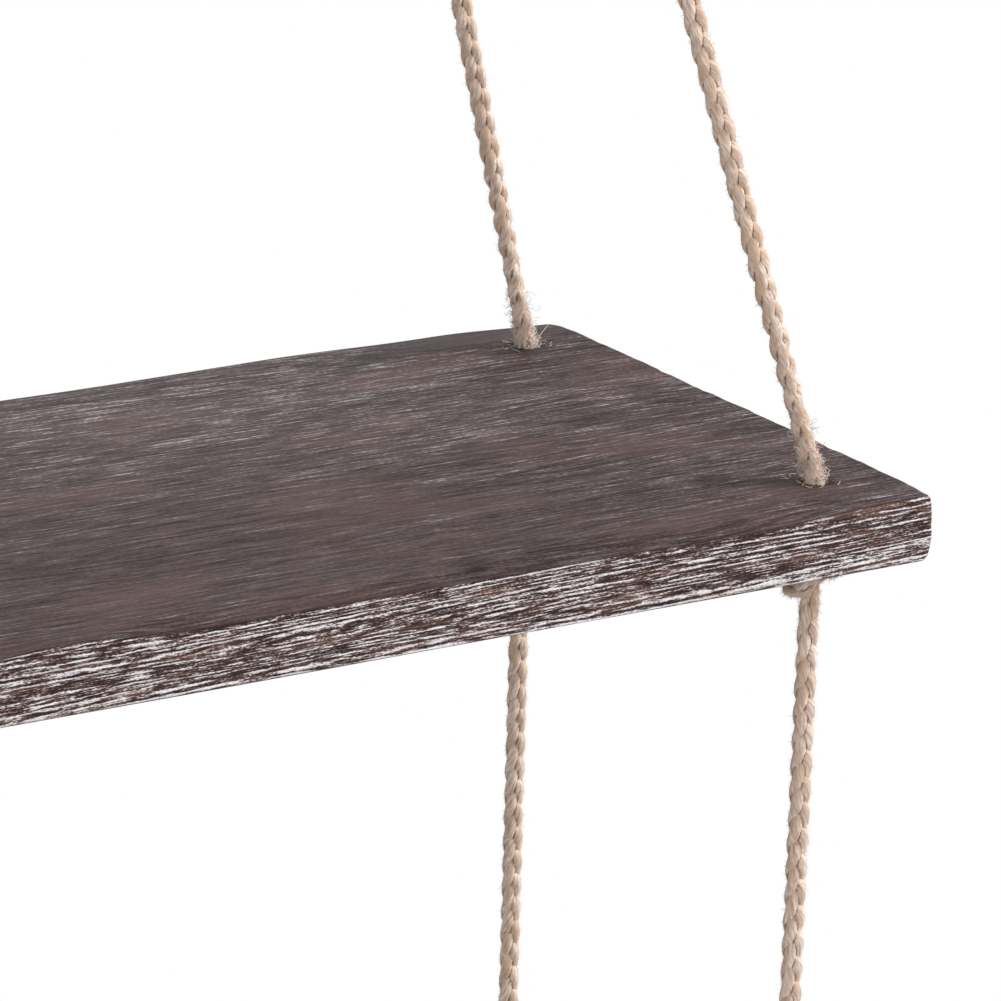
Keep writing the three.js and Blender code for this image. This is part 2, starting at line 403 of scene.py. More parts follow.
def ring_steel():
    """Plain welded steel, drawn along the wire and dulled at the weld (attribute "weld")."""
    material, graph = new_material("ring_steel")
    place = graph.place()
    weld, along = graph.attribute("weld"), graph.attribute("along")
    _, depth, _ = place.parts()
    reach = (place - (0.0, 0.0, RING_CENTRE_Z)).length()
    drawn = graph.noise(graph.xyz(along * 0.12, depth * 3.0, reach * 3.0), 3.0, 0.6)
    clouds = graph.noise(place * 0.15, 2.0)
    colour = graph.mix((0.27, 0.27, 0.28), (0.44, 0.44, 0.44), drawn.rise(0.3, 0.7))
    dull = (clouds.rise(0.55, 0.75) * 0.4).most(weld * 0.7)
    colour = graph.mix(colour, (0.19, 0.18, 0.17), dull)
    roughness = 0.3 + 0.15 * drawn + 0.25 * weld
    finish_surface(graph, colour, roughness, drawn, 0.03, Metallic=1.0)
    return material


# Meshes

def link(name, mesh):
    piece = bpy.data.objects.new(name, mesh)
    bpy.context.scene.collection.objects.link(piece)
    return piece


def mesh_of(name, points, faces=(), edges=(), **attributes):
    """A mesh of points in mm, with attributes given for each point."""
    mesh = bpy.data.meshes.new(name)
    mesh.from_pydata((np.asarray(points) * MM).tolist(), list(edges), [tuple(f) for f in faces])
    for attribute, values in attributes.items():
        put(mesh, attribute, values)
    return mesh


def put(mesh, name, values):
    values = np.asarray(values, np.float32)
    vector = values.ndim == 2
    made = mesh.attributes.new(name, "FLOAT_VECTOR" if vector else "FLOAT", "POINT")
    made.data.foreach_set("vector" if vector else "value", values.ravel())


def places(mesh):
    """A mesh's points, in mm."""
    co = np.empty(len(mesh.vertices) * 3, np.float32)
    mesh.vertices.foreach_get("co", co)
    return co.reshape(-1, 3).astype(float) / MM


def smooth(mesh, angle=40):
    mesh.polygons.foreach_set("use_smooth", [True] * len(mesh.polygons))
    mesh.set_sharp_from_angle(angle=radians(angle))


def settle(piece, name):
    """The plain mesh that a piece's modifiers make; the piece itself is removed."""
    graph = bpy.context.evaluated_depsgraph_get()
    mesh = bpy.data.meshes.new_from_object(piece.evaluated_get(graph))
    mesh.name = name
    piece.modifiers.clear()
    bpy.data.objects.remove(piece)
    return mesh


def run_tree(name, source, tree, **values):
    """Runs a node tree on a source mesh with the tree's named inputs set. What only guided the
    tree is taken off the mesh that it makes."""
    carrier = link(name + "_line", source)
    modifier = carrier.modifiers.new(tree.name, "NODES")
    modifier.node_group = tree
    for item in tree.interface.items_tree:
        if item.in_out == "INPUT" and item.name in values:
            modifier[item.identifier] = values[item.name]
    mesh = settle(carrier, name)
    for attribute in [a.name for a in mesh.attributes]:
        if attribute in (*GUIDES, "core", "centre", "strand"):
            mesh.attributes.remove(mesh.attributes[attribute])
    return link(name, mesh)


def value_noise(points, cell, seed):
    """Smooth noise from -1 to 1 at points in mm, whose cells have the given size each way."""
    table = np.random.default_rng(seed).uniform(-1, 1, 8191)
    scaled = points / np.array(cell, float)
    base = np.floor(scaled).astype(np.int64)
    part = scaled - base
    ease = part * part * (3 - 2 * part)
    total = np.zeros(len(points))
    for corner in product((0, 1), repeat=3):
        index = base + corner
        key = (index[:, 0] * 7385 ^ index[:, 1] * 19349 ^ index[:, 2] * 83492) % 8191
        total += np.where(corner, ease, 1 - ease).prod(1) * table[key]
    return total


def step_up(value, low, high):
    share = np.clip((value - low) / (high - low), 0, 1)
    return share * share * (3 - 2 * share)


# Planks

def rows_of(half, close, arris, pace):
    """Places from -half to half: close together at the arrises, and a pace apart between."""
    edge = np.arange(0, arris + close / 2, close)
    count = max(2, round(2 * (half - edge[-1]) / pace))
    middle = np.linspace(-half + edge[-1], half - edge[-1], count + 1)
    return np.concatenate([-half + edge[:-1], middle, half - edge[:-1][::-1]])


def box_skin(rows):
    """Points and faces of a box's skin, with a line at each place of the three rows."""
    shape = [len(row) for row in rows]
    index = np.indices(shape)
    skin = np.zeros(shape, bool)
    for axis, size in enumerate(shape):
        skin |= (index[axis] == 0) | (index[axis] == size - 1)
    number = np.full(shape, -1)
    number[skin] = np.arange(skin.sum())
    faces = []
    for axis, end in product(range(3), (0, -1)):
        side = np.take(number, end, axis)
        quads = np.stack([side[:-1, :-1], side[1:, :-1], side[1:, 1:], side[:-1, 1:]], -1)
        quads = quads.reshape(-1, 4)
        faces.append(quads if (end == -1) != (axis == 1) else quads[:, ::-1])
    return np.stack(np.meshgrid(*rows, indexing="ij"), -1)[skin], np.concatenate(faces)


def round_arris(points, half, axes, radius):
    """Rounds the arrises between two axes of a box, by one radius or by each point's own."""
    axes = list(axes)
    flat = points[:, axes]
    inner = np.array(half)[axes] - np.reshape(radius, (-1, 1))
    core = np.clip(flat, -inner, inner)
    over = flat - core
    reach, length = np.abs(over).max(1), norm(over, axis=1)
    over *= (reach / np.maximum(length, 1e-9))[:, None]
    points[:, axes] = core + over


def hole_cutter():
    """Four closed cutters with flared mouths, as one mesh."""
    half, radius = SHELF_THICKNESS / 2, HOLE_DIAMETER / 2
    profile = [(half + 2, radius + HOLE_FLARE + 2), (half, radius + HOLE_FLARE),
               (half - 0.4 * HOLE_FLARE, radius + 0.35 * HOLE_FLARE), (half - HOLE_FLARE, radius)]
    profile += [(-z, r) for z, r in reversed(profile)]
    sides = 40
    points, faces = [], []
    for x, y in HOLES:
        start = len(points)
        for z, r in profile:
            for k in range(sides):
                turn = 2 * pi * k / sides
                rough = 1 + 0.018 * sin(3 * turn + x) + 0.012 * sin(7 * turn + y)
                points.append((x + r * rough * cos(turn), y + r * rough * sin(turn), z))
        for row in range(len(profile) - 1):
            for k in range(sides):
                a, b = start + row * sides + k, start + row * sides + (k + 1) % sides
                faces.append((b, a, a + sides, b + sides))
        faces.append([start + k for k in range(sides)])
        last = start + (len(profile) - 1) * sides
        faces.append([last + k for k in reversed(range(sides))])
    return link("hole_cutter", mesh_of("hole_cutter", points, faces))


def plank_blank(name, half):
    """A plain plank with rounded arrises and flared rope holes, as a mesh about its middle."""
    rows = [rows_of(half[0], 0.4, CORNER_ARRIS, 2.1), rows_of(half[1], 0.3, LONG_ARRIS, 1.3),
            rows_of(half[2], 0.3, LONG_ARRIS, 0.4)]
    points, faces = box_skin(rows)
    round_arris(points, half, (1, 2), LONG_ARRIS)
    worn_corner = step_up(-points[:, 1], half[1] - 12, half[1] - 1)
    round_arris(points, half, (0, 2), END_ARRIS + (CORNER_ARRIS - END_ARRIS) * worn_corner)
    tips = step_up(np.abs(points[:, 2]), 3, half[2] - 0.5)
    front = FRONT_ROUND + (TIP_ROUND - FRONT_ROUND) * tips
    round_arris(points, half, (0, 1), np.where(points[:, 1] < 0, front, REAR_ROUND))
    plank = link(name + "_blank", mesh_of(name, points, faces))
    cutter = hole_cutter()
    cut = plank.modifiers.new("holes", "BOOLEAN")
    cut.object, cut.operation, cut.solver = cutter, "DIFFERENCE", "MANIFOLD"
    mesh = settle(plank, name)
    bpy.data.objects.remove(cutter)
    shape = bmesh.new()
    shape.from_mesh(mesh)
    bmesh.ops.triangulate(shape, faces=[f for f in shape.faces if len(f.verts) > 4])
    shape.to_mesh(mesh)
    shape.free()
    return mesh


def make_plank(name, body, node, top, seed, worn, finish):
    """A plank with wavy sawn ends, raised grain on its edges and flared rope holes."""
    half = np.array((SHELF_LENGTH, SHELF_DEPTH, SHELF_THICKNESS)) / 2
    mesh = plank_blank(name, half)
    at = places(mesh)
    normal = np.array([v.normal for v in mesh.vertices], float)
    x, y, z = at.T
    from_hole = np.min([np.hypot(x - hx, y - hy) for hx, hy in HOLES], 0) - HOLE_DIAMETER / 2
    clear = step_up(from_hole, HOLE_FLARE, 3)
    # Below 0 on the broad faces, above 0 on the long edges, and 0 along the arrises
    past = (half[2] - np.abs(z)) - (half[1] - np.abs(y))
    edge = step_up(past, -0.12, 0.12)
    end = step_up(np.abs(x), half[0] - 1.0, half[0] - 0.3)
    grain = np.stack([x, y, z - 0.052 * x], 1) + (seed * 37.0, 0, 0)
    ridges = value_noise(grain, (16, 50, 1.1), seed)
    ridges += 0.6 * value_noise(grain, (7, 50, 0.6), seed + 1)
    saw = value_noise(grain, (50, 3.5, 1.3), seed + 2)
    swell = value_noise(grain, (70, 9, 90), seed + 3)
    relief = (0.13 * ridges - 0.06) * edge + 0.12 * saw * end
    relief = np.where(np.maximum(edge, end) > 0, relief, 0.09 * swell * clear)
    at += normal * (relief * clear)[:, None]
    # The ends are sawn a little wavy, with nicks out of their upper and lower arrises
    near_end = step_up(np.abs(x), half[0] - 9, half[0] - 1)
    upper = step_up(np.abs(z), half[2] - 4, half[2] - 0.5)
    flat = grain * (0, 1, 0)
    flat += np.outer(np.sign(x), (1000, 0, 0)) + np.outer(np.sign(z), (0, 0, 900))
    wave = 0.25 * value_noise(flat, (1, 26, 1), seed + 4) + 0.6 + 0.3 * step_up(-y, 40, half[1])
    nicks = np.maximum(0, value_noise(flat, (1, 5.5, 1), seed + 5) - 0.1)
    nicks += 0.3 * value_noise(flat, (1, 2.2, 1), seed + 7)
    at[:, 0] += np.sign(x) * near_end * (wave - 0.6 * nicks * upper)
    # The top falls away towards the front, where hands and years have worn it down
    worn_down = step_up(np.abs(x), 0, 30) * (1 - step_up(np.abs(x), half[0] - 48, half[0] - 2))
    wobble = value_noise(grain * (1, 0, 0), (24, 1, 1), seed + 6)
    drop = np.where(y < 0, 1.6 * worn_down + 0.15 * wobble + 0.1, 0.12 * wobble + 0.12)
    drop = drop * step_up(np.abs(y), half[1] - 6, half[1]) * (z / half[2] / 2 + 0.5)
    at[:, 2] -= drop
    wane = np.zeros(len(at))
    if worn:
        # The rear edge swells a little before it reaches the corner
        swells = step_up(x, 70, 150) * (1 - step_up(x, 178, 206))
        at[:, 1] += 2.4 * swells * step_up(y, 30, half[1])
        # Bark side left at the rear corner: a strip that dips away from a ragged line
        line = half[1] - 9.2 + 0.02 * (half[0] - x) + 0.7 * value_noise(grain, (9, 900, 900), 5)
        wane = step_up(y - line, -0.3, 0.5) * step_up(x, half[0] - 62, half[0] - 36) * (z > 0)
        wane *= step_up(z, half[2] - 4, half[2] - 1.5)
        fall = 0.2 + 0.03 * np.clip(y - line, 0, 9) + 0.12 * value_noise(grain, (22, 1.8, 90), 6)
        at[:, 2] -= wane * np.maximum(0, fall)
    placed = (at + (0, 0, top - SHELF_THICKNESS / 2)) * MM
    mesh.vertices.foreach_set("co", placed.astype(np.float32).ravel())
    put(mesh, "edge", np.maximum(edge, end))
    put(mesh, "arris", step_up(z, half[2] - 2.2, half[2] - 1.2) * edge)
    put(mesh, "crease", np.exp(-(past / 0.28) ** 2) * (z > 0))
    put(mesh, "wane", wane)
    # Where the wood's finish paints shade: the rope holes' walls and rims
    put(mesh, "mouth", 1 - step_up(from_hole, 0.2, 1.6))
    put(mesh, "height", z)
    smooth(mesh)
    mesh.materials.clear()
    mesh.materials.append(finish)
    piece = link(name, mesh)
    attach(piece, body)
    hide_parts(node)


# Ring

def make_ring(finish):
    """Round wire bent to a ring and butt welded, with the weld's low bead at one side."""
    turns, sides = 160, 40
    bead_at = radians(72)
    points, weld, along = [], [], []
    for i in range(turns):
        turn = 2 * pi * i / turns
        off = remainder(turn - bead_at, 2 * pi) * RING_RADIUS
        bead = exp(-((off / 1.1) ** 2))
        for k in range(sides):
            roll = 2 * pi * k / sides
            ripple = 0.05 * sin(5 * roll + 1.3) * bead
            radius = RING_WIRE / 2 + 0.28 * bead + ripple
            reach = RING_RADIUS + radius * cos(roll)
            points.append((reach * sin(turn), radius * sin(roll),
                           RING_CENTRE_Z + reach * cos(turn)))
            weld.append(exp(-((off / 2.4) ** 2)))
            along.append(abs(off))
    faces = []
    for i, k in product(range(turns), range(sides)):
        j, m = (i + 1) % turns, (k + 1) % sides
        faces.append((i * sides + k, i * sides + m, j * sides + m, j * sides + k))
    mesh = mesh_of("steel_ring", points, faces, weld=weld, along=along)
    smooth(mesh, 80)
    mesh.materials.append(finish)
    piece = link("steel_ring", mesh)
    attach(piece, "ring")
    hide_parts("hanging_ring")


# Rope routes

def through(points):
    """A centripetal Catmull-Rom curve through the points, as a fine line."""
    points = np.array(points, float)
    points = np.vstack([2 * points[0] - points[1], points, 2 * points[-1] - points[-2]])
    share = np.linspace(0, 1, 30, endpoint=False)[:, None]
    line = []
    for a, b, c, d in zip(points, points[1:], points[2:], points[3:]):
        ab, bc, cd = (norm(q - p) ** 0.5 for p, q in ((a, b), (b, c), (c, d)))
        leave = ((b - a) / ab - (c - a) / (ab + bc) + (c - b) / bc) * bc
        arrive = ((c - b) / bc - (d - b) / (bc + cd) + (d - c) / cd) * bc
        line.append(b + share * (leave + share * (3 * (c - b) - 2 * leave - arrive
                                                  + share * (2 * (b - c) + leave + arrive))))
    return np.vstack(line + [points[-2:-1]])


def reached(line):
    """How far along the line each of its points is."""
    return np.concatenate([[0], np.cumsum(norm(np.diff(line, axis=0), axis=1))])


def even(line, pace):
    """The same line with points a pace apart, or just under."""
    gaps = norm(np.diff(line, axis=0), axis=1)
    line = line[np.concatenate([[True], gaps > 1e-6])]
    run = reached(line)
    at = np.linspace(0, run[-1], ceil(run[-1] / pace) + 1)
    return np.stack([np.interp(at, run, line[:, axis]) for axis in range(3)], 1)


def softened(line, reach, pace):
    """The line with its corners eased over a reach, its ends kept."""
    count = ceil(3 * reach / pace)
    weights = np.exp(-0.5 * (np.arange(-count, count + 1) * pace / reach) ** 2)
    padded = np.vstack([
        2 * line[0] - line[count:0:-1], line, 2 * line[-1] - line[-2:-count - 2:-1]])
    return np.stack([np.convolve(padded[:, k], weights / weights.sum(), "valid")
                     for k in range(3)], 1)


def knot_middle(top):
    return top - SHELF_THICKNESS - ROPE_GAP - KNOT_TOP * KNOT_PITCH - KNOT_ROPE / 2


def knot_end(top):
    return knot_middle(top) - KNOT_EXIT * KNOT_PITCH


# Where the ropes start to flex, under the upper knots
BEND_Z = knot_end(UPPER_Z) - ROPE_GAP - ROPE / 2


def knot_line(corner, side, top, end):
    """Down through a plank's hole, round an overhand knot and out below."""
    scale = np.array((side * KNOT_PITCH, -KNOT_PITCH, KNOT_PITCH))
    middle = np.array((*corner, knot_middle(top)))
    up = [middle + scale * share for share in KNOT_PATH]
    down = [middle + scale * (x, -y, -z) for x, y, z in KNOT_PATH[1:]]
    up += [(*corner, knot_middle(top) + KNOT_EXIT * KNOT_PITCH),
           (*corner, top - ROPE / 2 - ROPE_GAP)]
    if end < knot_end(top):
        down.append((*corner, knot_end(top)))
    return through(up[::-1] + down + [(*corner, end)])


def leg_top(side, leg):
    middle = HITCH_PLACE * HITCH_PITCH + LEG_PITCH / 2
    return np.array((side * (middle + (leg - 0.5) * LEG_PITCH), 0, LEG_TOP_Z))


def corner_of(side, leg):
    return side * HOLE_X, FRONT_HOLE_Y if leg else REAR_HOLE_Y


def leg_way(side, leg):
    """The top of a leg, and the way that it leans down to its hole."""
    top = leg_top(side, leg)
    down = np.array((*corner_of(side, leg), UPPER_Z)) - top
    return top, down / norm(down)


def hitch_line(side):
    """The cow hitch on the ring, from the front leg's top to the rear leg's."""
    middle = side * HITCH_PLACE * HITCH_PITCH
    halves = []
    for leg in (1, 0):
        mirror = side if leg else -side
        points = []
        for along, rear, out in HITCH_PATH:
            turn = (middle + mirror * along * HITCH_PITCH) / RING_RADIUS
            reach = RING_RADIUS + out * HITCH_PITCH
            points.append((reach * sin(turn), rear * HITCH_PITCH,
                           RING_CENTRE_Z - reach * cos(turn)))
        top, down = leg_way(side, leg)
        points += [top - down * (ROPE + ROPE_GAP), top - down * (ROPE / 2 + ROPE_GAP)]
        halves.append(points)
    return through(halves[0][::-1] + halves[1][1:])


def below_hitch(side, leg):
    """The rope from the top of a leg down to the end of its tail."""
    corner = corner_of(side, leg)
    return np.vstack([
        [leg_top(side, leg), (*corner, UPPER_Z)],
        knot_line(corner, side, UPPER_Z, knot_end(UPPER_Z)),
        [(*corner, LOWER_Z)],
        knot_line(corner, side, LOWER_Z, knot_end(LOWER_Z) - TAIL),
    ])


def facing(way):
    """The direction square to a rope's way in which its plait's broad side looks."""
    out = FACING - way * (FACING @ way)
    return out / norm(out)


def carried_frames(line, start):
    """Side and up vectors carried along the line without twist, from its point number start."""
    run = np.gradient(line, axis=0)
    run /= norm(run, axis=1)[:, None]
    up = np.zeros_like(line)
    up[start] = facing(run[start])
    for order in (range(start + 1, len(line)), range(start - 1, -1, -1)):
        last = up[start]
        for i in order:
            last = last - run[i] * (last @ run[i])
            last /= norm(last)
            up[i] = last
    return run, up


def turned(vector, axis, angle):
    """Vectors turned about unit axes, each by its own angle."""
    c, s = np.cos(angle)[:, None], np.sin(angle)[:, None]
    ahead = axis * (axis * vector).sum(1)[:, None]
    return vector * c + np.cross(axis, vector) * s + ahead * (1 - c)


def rope_line(side):
    """One long rope: its line with everything that the plait follows, and its cutting places."""
    front, rear = (below_hitch(side, leg) for leg in (1, 0))
    line = np.vstack([front[::-1], hitch_line(side), rear])
    line = even(softened(even(line, 0.3), 0.9, 0.3), STEP)
    middle = int(np.argmin(norm(line - hitch_middle(side), axis=1)))
    run, up = carried_frames(line, middle)
    distance = reached(line)
    distance -= distance[middle]
    marks = {}
    for leg in (1, 0):
        top, down = leg_way(side, leg)
        stops = {"hitch": top - down * BLEND, "leg_start": top + down * 30,
                 "leg_end": top + down * 560}
        levels = {
            "in_hole": UPPER_Z - 8, "knot_start": UPPER_Z - 13, "knot_stop": knot_end(UPPER_Z),
            "bend_top": BEND_Z + BLEND, "rope_top": BEND_Z - BEND / 2,
            "rope_middle": (BEND_Z + LOWER_Z) / 2, "rope_foot": LOWER_Z + BEND / 2,
            "mouth": LOWER_Z - 0.5, "in_lower": LOWER_Z - 8, "lower_knot_start": LOWER_Z - 13,
            "lower_knot_stop": knot_end(LOWER_Z), "tail": knot_end(LOWER_Z) - TAIL}
        stops |= {name: (*corner_of(side, leg), z) for name, z in levels.items()}
        at, mark = middle, {}
        for name, stop in stops.items():
            ahead = slice(0, at) if leg else slice(at, len(line))
            off = norm(line[ahead] - np.array(stop), axis=1)
            mark[name] = at = int(np.argmin(off)) + ahead.start
        marks[leg] = mark
    # The plait's broad side faces forwards on the straight runs and turns between them
    keys, angles = [middle], [0.0]
    squeeze, fuzz, comb = np.ones(len(line)), np.ones(len(line)), np.zeros(len(line))
    for leg, sign in ((1, -1), (0, 1)):
        mark = marks[leg]
        last = 0.0
        for first, stop in (("leg_start", "leg_end"), ("rope_top", "rope_foot"),
                            ("lower_knot_stop", "tail")):
            i = (mark[first] + mark[stop]) // 2
            want = facing(run[i])
            angle = atan2(np.cross(up[i], want) @ run[i], up[i] @ want)
            angle += radians(-22) * sign
            angle = last + remainder(angle - last, 2 * pi)
            last = angle
            keys += [mark[first], mark[stop]]
            angles += [angle, angle]
        away = distance * sign
        for first, stop in (("knot_start", "knot_stop"), ("lower_knot_start", "lower_knot_stop")):
            low, high = away[mark[first]], away[mark[stop]]
            inside = step_up(away, low - 3, low + 3) * (1 - step_up(away, high - 3, high + 3))
            squeeze -= (1 - KNOT_WIDTH / ROPE) * inside
            fuzz += 0.8 * inside
        mouth = away[mark["in_hole"]] - 8
        fuzz += 1.8 * np.exp(-((away - mouth + 3) / 6) ** 2) * (away > 0)
        squeeze += 0.1 * np.exp(-((away - mouth + 4) / 6) ** 2) * (away > 0)
        fuzz += 1.5 * np.exp(-((away - away[mark["mouth"]] + 2) / 5) ** 2)
        end = step_up(away, away[mark["tail"]] - 7, away[mark["tail"]])
        fuzz += 7 * end
        comb += 3.5 * sign * end
        squeeze += 0.25 * end
    order = np.argsort(keys)
    angle = np.interp(np.arange(len(line)), np.array(keys)[order], np.array(angles)[order])
    angle = np.convolve(np.pad(angle, 8, "edge"), np.ones(17) / 17, "valid")
    up = turned(up, run, angle)
    return {"line": line, "along": np.abs(distance), "side": np.cross(run, up), "up": up,
            "squeeze": squeeze, "fuzz": fuzz, "comb": comb, "marks": marks}


def hitch_middle(side):
    turn = side * HITCH_PLACE * HITCH_PITCH / RING_RADIUS
    reach = RING_RADIUS + HITCH_PATH[0][2] * HITCH_PITCH
    return np.array((reach * sin(turn), HITCH_PATH[0][1] * HITCH_PITCH,
                     RING_CENTRE_Z - reach * cos(turn)))


# Rope pieces

def new_tree(name, inputs):
    """A geometry node tree that works on a line, with named inputs and their first values."""
    tree = bpy.data.node_groups.new(name, "GeometryNodeTree")
    tree.interface.new_socket("Line", in_out="INPUT", socket_type="NodeSocketGeometry")
    kinds = {float: "Float", int: "Int", type(None): "Material"}
    for label, value in inputs.items():
        socket = tree.interface.new_socket(
            label, in_out="INPUT", socket_type="NodeSocket" + kinds[type(value)])
        if value is not None:
            socket.default_value = value
    tree.interface.new_socket("Mesh", in_out="OUTPUT", socket_type="NodeSocketGeometry")
    graph = Graph(tree)
    return tree, graph, graph.node("NodeGroupInput", {}, {}, "Line")


def end_tree(graph, geometry, finish):
    made = graph.node("GeometryNodeRealizeInstances", {}, {"Geometry": geometry})
    made = graph.node("GeometryNodeSetShadeSmooth", {}, {"Geometry": made})
    made = graph.node("GeometryNodeSetMaterial", {}, {"Geometry": made, "Material": finish})
    graph.node("NodeGroupOutput", {}, {"Mesh": made})


def tube(graph, line, sides, scale, closed=True):
    ring = graph.node("GeometryNodeCurvePrimitiveCircle", {"mode": "RADIUS"},
                      {"Resolution": sides, "Radius": 1.0})
    return graph.node("GeometryNodeCurveToMesh", {}, {
        "Curve": line, "Profile Curve": ring, "Scale": scale, "Fill Caps": closed})


def plait_tree():
    """Three strands that cross in turn along a line, with hairs that stand off them."""
    tree, graph, line = new_tree("plaited rope", {
        "Spread": SPREAD * MM, "Lift": LIFT * MM, "Lay Length": LAY, "Strand Radius": STRAND * MM,
        "Hairs per Square Metre": 2000000.0, "Hair Length": 1.15 * MM, "Hair Thickness": 0.05,
        "Seed": 1, "Finish": None})
    along, squeeze, side, up = (graph.attribute(n) for n in ("along", "squeeze", "side", "up"))
    place = graph.node("GeometryNodeInputPosition")
    copies = graph.node("GeometryNodeDuplicateElements", {"domain": "SPLINE"}, {
        "Geometry": graph.node("GeometryNodeMeshToCurve", {}, {"Mesh": line}), "Amount": 3})
    index = copies.out("Duplicate Index")
    turn = along * (2 * pi) / line.out("Lay Length") + index * (2 * pi / 3)
    made = graph.store(copies, "core", place)

    def swing(turn):
        """The way a strand lies to and fro: it lingers at the rope's sides."""
        return ((turn.sine() * (pi / 2)).sine() * (pi / 2)).sine()

    def strand_at(turn):
        offset = side * (swing(turn) * line.out("Spread") * squeeze)
        return offset + up * ((turn * 2.0).sine() * line.out("Lift") * squeeze)

    made = graph.node("GeometryNodeSetPosition", {}, {"Geometry": made, "Offset": strand_at(turn)})
    made = graph.store(graph.store(made, "centre", place), "strand", index * 1.0)
    flat = 1 - swing(turn) * swing(turn) * 0.14
    made = tube(graph, made, 9, line.out("Strand Radius") * squeeze * flat)
    local = (place - graph.attribute("centre")) * 1000.0
    fibre = graph.xyz(
        along + graph.attribute("strand") * 53.0, local.dot(side), local.dot(up))
    made = graph.store(made, "fibre", fibre)
    # How far each point lies outside the other two strands, in strand radii; the jute's finish paints shade
    # where this is low
    turn = along * (2 * pi) / line.out("Lay Length")
    turn = turn + graph.attribute("strand") * (2 * pi / 3)
    reach = place - graph.attribute("core")
    near = (reach - strand_at(turn + 2 * pi / 3)).length().least(
        (reach - strand_at(turn - 2 * pi / 3)).length())
    strands = graph.store(made, "crease", near / (line.out("Strand Radius") * squeeze) - 1)

    hair = graph.node("GeometryNodeMeshCone", {"fill_type": "NONE"}, {
        "Vertices": 3, "Depth": 1.0, "Radius Top": 0.0,
        "Radius Bottom": line.out("Hair Thickness")})
    hair = graph.store(hair, "hair", 1.0)
    seed = line.out("Seed")

    def random(low, high, shift):
        return graph.node("FunctionNodeRandomValue", {"data_type": "FLOAT"}, {
            "Min_001": low, "Max_001": high, "Seed": seed + shift}, "Value_001")

    points = graph.node("GeometryNodeDistributePointsOnFaces", {}, {
        "Mesh": strands, "Seed": seed,
        "Density": line.out("Hairs per Square Metre") * graph.attribute("fuzz")})
    lean = random(-1.3, 1.3, 11) + graph.attribute("comb")
    way = points.out("Normal") * random(0.3, 1.0, 12) + side.cross(up) * lean
    roll = graph.node(
        "FunctionNodeEulerToRotation", {}, {0: graph.xyz(0.0, 0.0, random(0.0, 6.28, 13))})
    aimed = graph.node("FunctionNodeAlignRotationToVector", {"axis": "Z"}, {
        "Rotation": roll, "Vector": way})
    length = random(0.35, 1.0, 14) * random(0.5, 1.3, 15) * line.out("Hair Length")
    length = length * (graph.attribute("fuzz") * 0.3 + 0.7)
    hairs = graph.node("GeometryNodeInstanceOnPoints", {}, {
        "Points": points, "Instance": hair, "Rotation": aimed,
        "Scale": graph.xyz(length, length, length)})
    joined = graph.node("GeometryNodeJoinGeometry", {}, {"Geometry": [strands, hairs]})
    end_tree(graph, joined, line.out("Finish"))
    return tree


def fibre_tree():
    """A loose fibre along each line."""
    tree, graph, line = new_tree("loose fibres", {"Fibre Radius": 0.065 * MM, "Finish": None})
    curve = graph.node("GeometryNodeMeshToCurve", {}, {"Mesh": line})
    made = graph.store(tube(graph, curve, 3, line.out("Fibre Radius")), "hair", 1.0)
    # Loose fibres lie clear of the strands, so they get none of the painted crease shade
    made = graph.store(made, "crease", 1.0)
    end_tree(graph, made, line.out("Finish"))
    return tree


def rope_piece(rope, name, first, last, tree, finish, seed):
    """The stretch of a rope between two of its points, as strands with their hairs."""
    first, last = min(first, last), max(first, last)
    # Each end reaches one step further and is tucked into the stretch that follows
    part = slice(max(first - 1, 0), last + 2)
    kept = {key: rope[key][part].copy() for key in GUIDES}
    kept["squeeze"][[0, -1]] *= 0.88
    count = len(kept["along"])
    edges = [(i, i + 1) for i in range(count - 1)]
    source = mesh_of(name, rope["line"][part], edges=edges, **kept)
    return run_tree(name, source, tree, Seed=seed, Finish=finish)


def make_ropes(tree, finish):
    seed = 10
    for side, half in ((-1, "left"), (1, "right")):
        rope = rope_line(side)
        marks = rope["marks"]
        seed += 1
        hitch = rope_piece(rope, f"jute_hitch_{half}", marks[1]["hitch"], marks[0]["hitch"],
                           tree, finish, seed)
        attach(hitch, "hitches")
        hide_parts(f"hitch_{half}")
        for leg in (1, 0):
            mark = marks[leg]
            corner = f"{'front' if leg else 'rear'}_{half}"
            x, y = corner_of(side, leg)
            lead = corner == "front_left"
            low_cut = "in_lower" if lead else "mouth"

            def add(label, first, last, bodies, nodes, blend=None):
                nonlocal seed
                seed += 1
                piece = rope_piece(rope, f"jute_{label}_{corner}", mark[first], mark[last],
                                   tree, finish, seed)
                if blend:
                    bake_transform(piece, *bodies, *[tuple(c * MM for c in at) for at in blend])
                else:
                    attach(piece, bodies[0])
                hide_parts(*[f"{n}_{corner}" for n in nodes])

            def bend_at(z):
                return (x, y, z + BLEND), (x, y, z - BLEND)

            top, down = leg_way(side, leg)
            add("leg", "hitch", "in_hole", ("hitches", "upper_tier"), ("leg",),
                (tuple(top - down * BLEND), tuple(top + down * (BLEND + 1))))
            add("knot_upper", "in_hole", "bend_top", ("upper_tier",), ("knot_upper",))
            add("bend_top", "bend_top", "rope_top", ("upper_tier", f"bend_top_{corner}"),
                ("bend_top",), bend_at(BEND_Z))
            add("rope_top", "rope_top", "rope_middle", (f"bend_top_{corner}", f"rope_{corner}"),
                ("rope",), bend_at(BEND_Z - BEND))
            add("rope_foot", "rope_middle", "rope_foot", (f"rope_{corner}", f"bend_foot_{corner}"),
                ("rope",), bend_at(LOWER_Z + BEND))
            add("bend_foot", "rope_foot", low_cut,
                (f"bend_foot_{corner}", "lower_tier") if lead else (f"bend_foot_{corner}",),
                ("bend_foot",), bend_at(LOWER_Z) if lead else None)
            add("knot_lower", low_cut, "tail", ("lower_tier",), ("knot_lower",))


